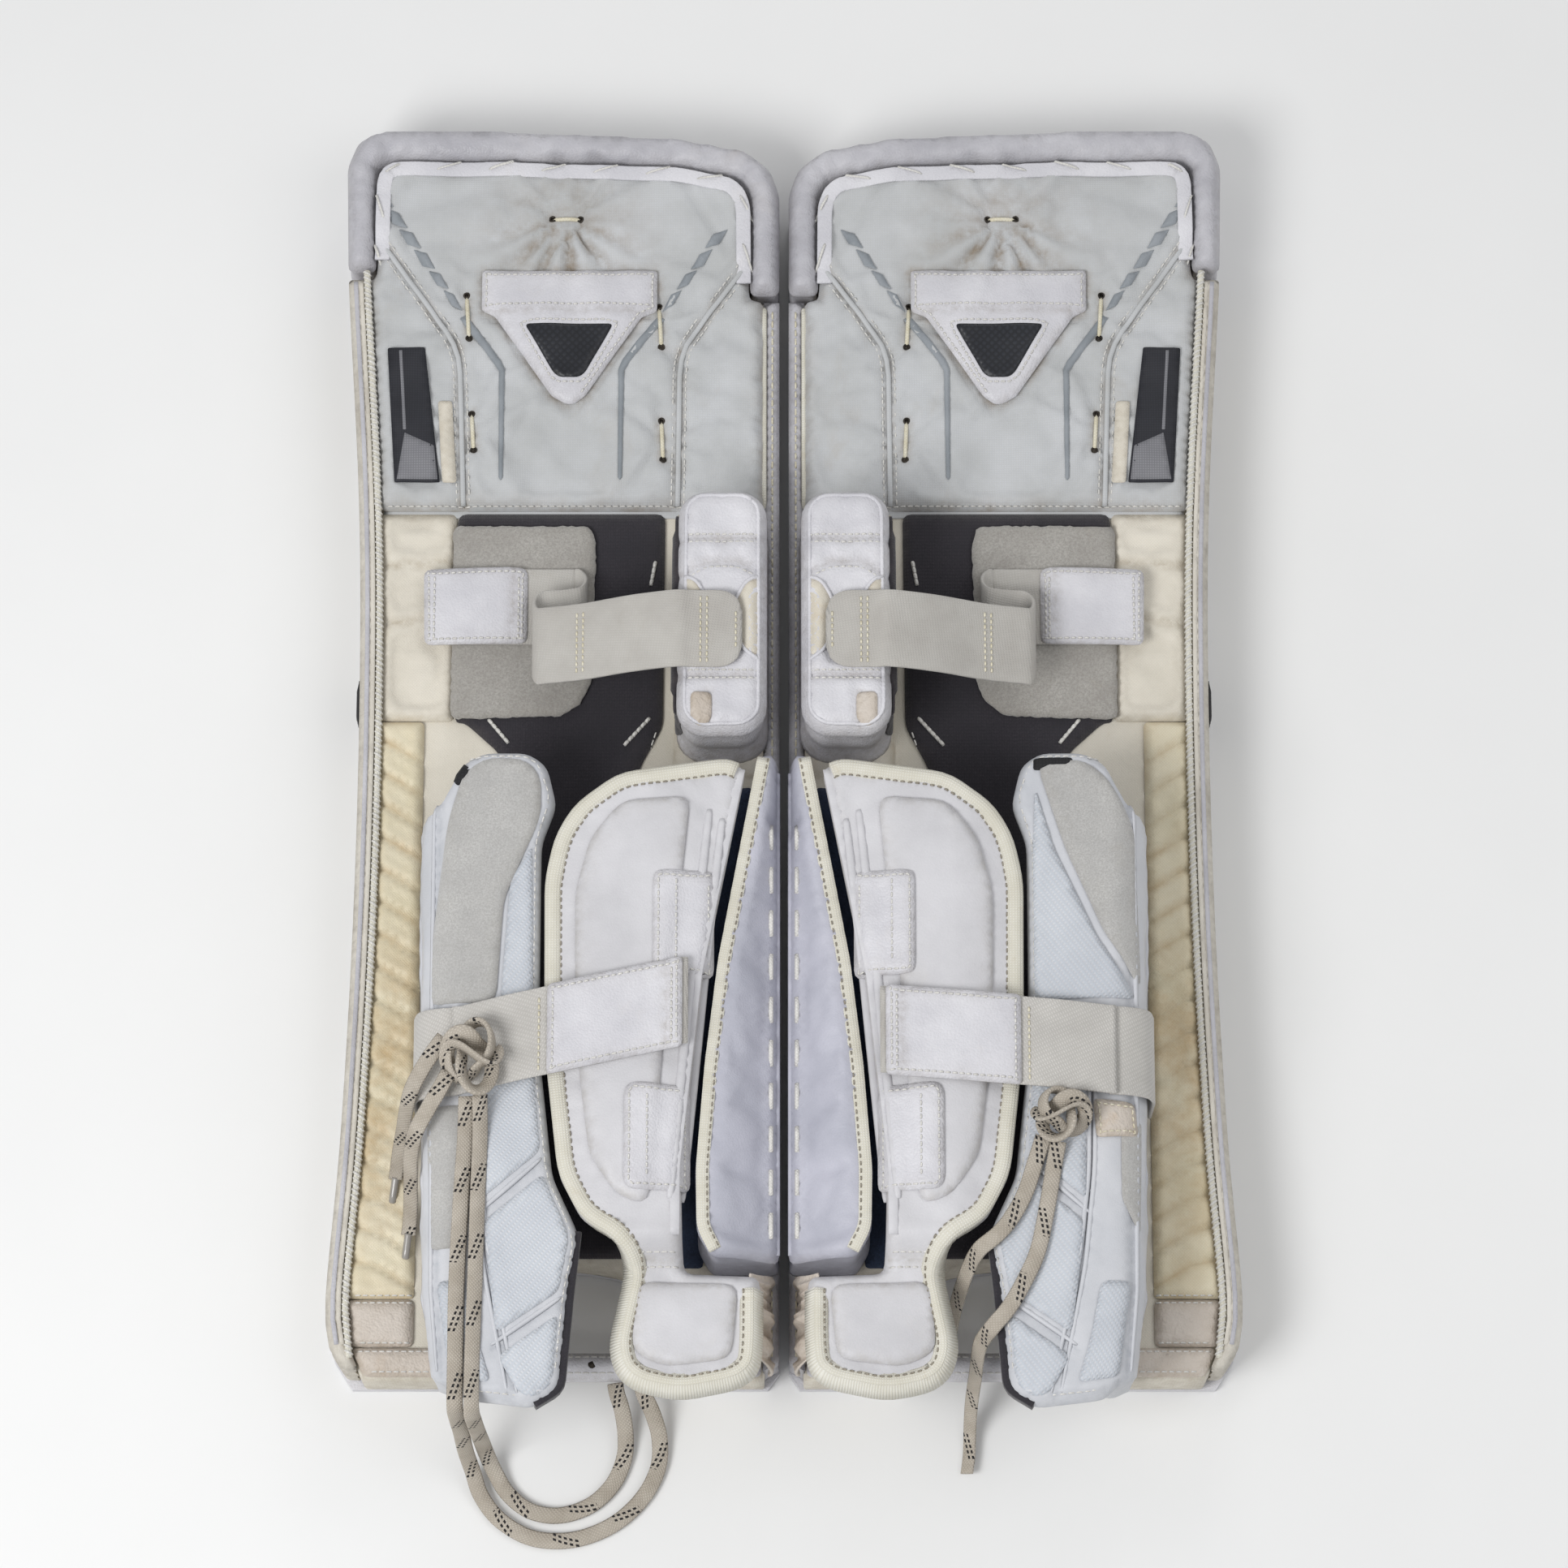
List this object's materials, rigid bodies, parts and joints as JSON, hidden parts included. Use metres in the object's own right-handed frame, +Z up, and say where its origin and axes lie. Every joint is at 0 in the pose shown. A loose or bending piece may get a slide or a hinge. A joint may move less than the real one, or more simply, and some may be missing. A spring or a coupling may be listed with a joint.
{
  "type": "goalie leg pads",
  "caption": "Mirror pair of flat-faced padded leg guards with hinged calf wings, knee and calf straps, knee blocks and laced toe bridges, lying face down.",
  "frame": {"origin": "middle of the bottom of the pair, on the surface that the flat faces lie on", "axes": "+X to the right leg's pad, +Y to the thigh end, +Z up from the flat faces to the backs"},
  "size_m": [0.568, 0.9162, 0.159],
  "materials": {
    "cover_leather": "smooth white synthetic leather, worn",
    "core_foam": "closed-cell foam",
    "roll_leather": "white synthetic leather over foam, creased",
    "edge_vinyl": "cream coated fabric rolls, whip stitched",
    "edge_leather": "off-white coated fabric rolls",
    "strap_leather": "white grained leather with lockstitch",
    "thigh_fabric": "fine woven grey-white nylon, puckered",
    "patch_leather": "smooth white leather, stitched edge",
    "label_print": "printed woven label, blank",
    "landing_knit": "dark brushed knit",
    "panel_vinyl": "cream coated nylon",
    "quilt_vinyl": "cream coated nylon, quilted, stained",
    "loop_felt": "grey brushed loop felt",
    "block_leather": "white grained leather over foam",
    "strap_elastic": "woven elastic webbing",
    "wing_shell": "moulded blue-white synthetic",
    "wing_foam": "smooth white synthetic over moulded foam",
    "lace_weave": "flat woven lace with dark ticks"
  },
  "bodies": {
    "left_pad": {"left_face_cover": "cover_leather", "left_foam_core": "core_foam", "left_top_roll": "roll_leather", "left_outer_edge_roll": "edge_vinyl", "left_inner_edge_roll": "edge_leather", "left_toe_bridge": "strap_leather", "left_thigh_panel": "thigh_fabric", "left_thigh_patch": "patch_leather", "left_size_label": "label_print", "left_landing_panel": "landing_knit", "left_knee_outer_panel": "panel_vinyl", "left_inner_lining_panel": "panel_vinyl", "left_calf_quilted_panel": "quilt_vinyl", "left_knee_felt_patch": "loop_felt", "left_knee_block": "block_leather", "left_calf_wedge": "wing_foam"},
    "left_knee_strap_body": {"left_knee_strap": "strap_elastic", "left_knee_strap_tab": "strap_leather"},
    "left_outer_wing_body": {"left_outer_wing": "wing_shell", "left_outer_wing_felt": "loop_felt", "left_calf_strap_anchor": "strap_elastic", "left_lace_knot": "lace_weave", "left_lace_run_a": "lace_weave", "left_lace_run_b": "lace_weave", "left_lace_tail_a": "lace_weave", "left_lace_tail_b": "lace_weave"},
    "left_calf_strap_body": {"left_calf_strap": "strap_elastic", "left_calf_strap_tab": "strap_leather"},
    "left_inner_wing_body": {"left_inner_wing": "wing_foam", "left_wing_tab_upper": "strap_leather", "left_wing_tab_lower": "strap_leather"},
    "right_pad": {"right_face_cover": "cover_leather", "right_foam_core": "core_foam", "right_top_roll": "roll_leather", "right_outer_edge_roll": "edge_vinyl", "right_inner_edge_roll": "edge_leather", "right_toe_bridge": "strap_leather", "right_thigh_panel": "thigh_fabric", "right_thigh_patch": "patch_leather", "right_size_label": "label_print", "right_landing_panel": "landing_knit", "right_knee_outer_panel": "panel_vinyl", "right_inner_lining_panel": "panel_vinyl", "right_calf_quilted_panel": "quilt_vinyl", "right_knee_felt_patch": "loop_felt", "right_knee_block": "block_leather", "right_calf_wedge": "wing_foam"},
    "right_knee_strap_body": {"right_knee_strap": "strap_elastic", "right_knee_strap_tab": "strap_leather"},
    "right_outer_wing_body": {"right_outer_wing": "wing_shell", "right_outer_wing_felt": "loop_felt", "right_calf_strap_anchor": "strap_elastic", "right_lace_knot": "lace_weave", "right_lace_free_end": "lace_weave", "right_lace_to_bridge": "lace_weave"},
    "right_calf_strap_body": {"right_calf_strap": "strap_elastic", "right_calf_strap_tab": "strap_leather"},
    "right_inner_wing_body": {"right_inner_wing": "wing_foam", "right_wing_tab_upper": "strap_leather", "right_wing_tab_lower": "strap_leather"}
  },
  "joints": [
    {"name": "right_pad_apart", "type": "slide", "parent": "left_pad", "child": "right_pad", "axis": [1, 0, 0], "range_m": [0, 0.3]},
    {"name": "left_outer_wing_open", "type": "hinge", "parent": "left_pad", "child": "left_outer_wing_body", "pos_m": [-0.2245, 0, 0.054], "axis": [0, -1, 0], "range_deg": [0, 45]},
    {"name": "left_inner_wing_open", "type": "hinge", "parent": "left_pad", "child": "left_inner_wing_body", "pos_m": [-0.046, 0, 0.121], "axis": [0, 1, 0], "range_deg": [0, 40]},
    {"name": "left_calf_strap_open", "type": "hinge", "parent": "left_outer_wing_body", "child": "left_calf_strap_body", "pos_m": [-0.197, 0, 0.1315], "axis": [0, -1, 0], "range_deg": [0, 120], "deforming": ["left_lace_knot", "left_lace_run_a", "left_lace_run_b", "left_lace_tail_a", "left_lace_tail_b"]},
    {"name": "left_knee_strap_open", "type": "hinge", "parent": "left_pad", "child": "left_knee_strap_body", "pos_m": [-0.024, 0, 0.1263], "axis": [0, 1, 0], "range_deg": [0, 100]},
    {"name": "right_outer_wing_open", "type": "hinge", "parent": "right_pad", "child": "right_outer_wing_body", "pos_m": [0.2245, 0, 0.054], "axis": [0, 1, 0], "range_deg": [0, 45]},
    {"name": "right_inner_wing_open", "type": "hinge", "parent": "right_pad", "child": "right_inner_wing_body", "pos_m": [0.046, 0, 0.121], "axis": [0, -1, 0], "range_deg": [0, 40]},
    {"name": "right_calf_strap_open", "type": "hinge", "parent": "right_outer_wing_body", "child": "right_calf_strap_body", "pos_m": [0.197, 0, 0.1315], "axis": [0, 1, 0], "range_deg": [0, 120], "deforming": ["right_lace_knot", "right_lace_free_end", "right_lace_to_bridge"]},
    {"name": "right_knee_strap_open", "type": "hinge", "parent": "right_pad", "child": "right_knee_strap_body", "pos_m": [0.024, 0, 0.1263], "axis": [0, -1, 0], "range_deg": [0, 100]}
  ],
  "couplings": [
    {"joint": "left_calf_strap_open", "follows": "left_inner_wing_open", "ratio": 3},
    {"joint": "right_calf_strap_open", "follows": "right_inner_wing_open", "ratio": 3}
  ]
}
